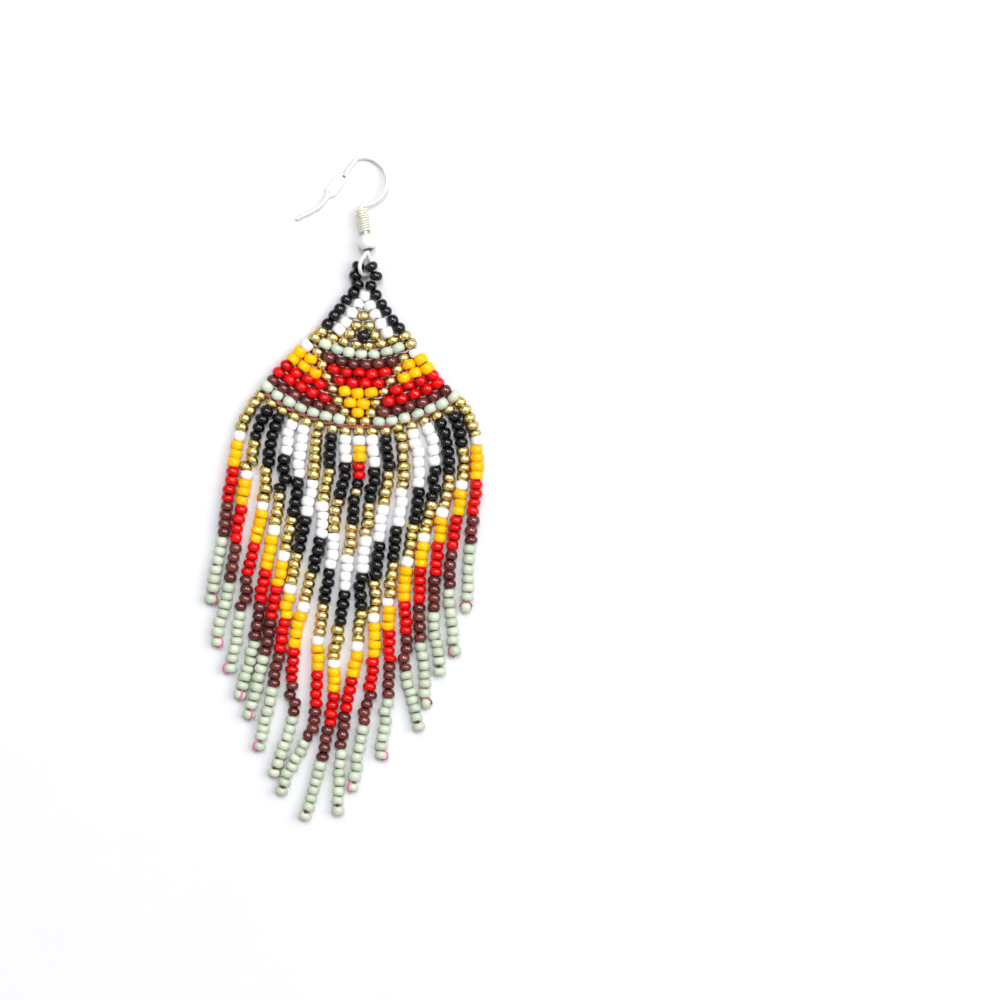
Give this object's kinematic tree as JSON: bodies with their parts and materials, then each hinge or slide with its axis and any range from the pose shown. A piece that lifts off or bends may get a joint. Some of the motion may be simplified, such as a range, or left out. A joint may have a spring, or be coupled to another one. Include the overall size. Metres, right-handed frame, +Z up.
{
  "type": "beaded fringe earring",
  "caption": "Seed bead earring with a brick stitch fan, a long fringe of bead strings and a wire ear hook with a ball and a coil.",
  "frame": {"origin": "on the surface that the earring lies on, under the middle of its outline", "axes": "+Z up from the surface, out of the face of the beads; +Y from the fringe towards the ear hook; +X to the right seen from above"},
  "size_m": [0.048, 0.1149, 0.0039],
  "materials": {
    "silver_wire": "polished silver plate",
    "black_beads": "glossy opaque black glass",
    "fan_beads": "opaque glass seed beads in rows of gold, black, white, sage, brown, red and orange",
    "string_beads": "opaque glass seed beads in runs of black, white, gold, orange, red, brown and sage",
    "thread": "waxed rose pink beading thread"
  },
  "bodies": {
    "root": {"ear_hook": "silver_wire", "coil": "silver_wire", "ball": "silver_wire", "bead_loop": "black_beads", "bead_fan": "fan_beads", "string_01": "string_beads", "string_02": "string_beads", "string_03": "string_beads", "string_04": "string_beads", "string_05": "string_beads", "string_06": "string_beads", "string_07": "string_beads", "string_08": "string_beads", "string_09": "string_beads", "string_10": "string_beads", "string_11": "string_beads", "string_12": "string_beads", "string_13": "string_beads", "string_14": "string_beads", "string_15": "string_beads", "string_16": "string_beads", "string_17": "string_beads"}
  },
  "joints": []
}
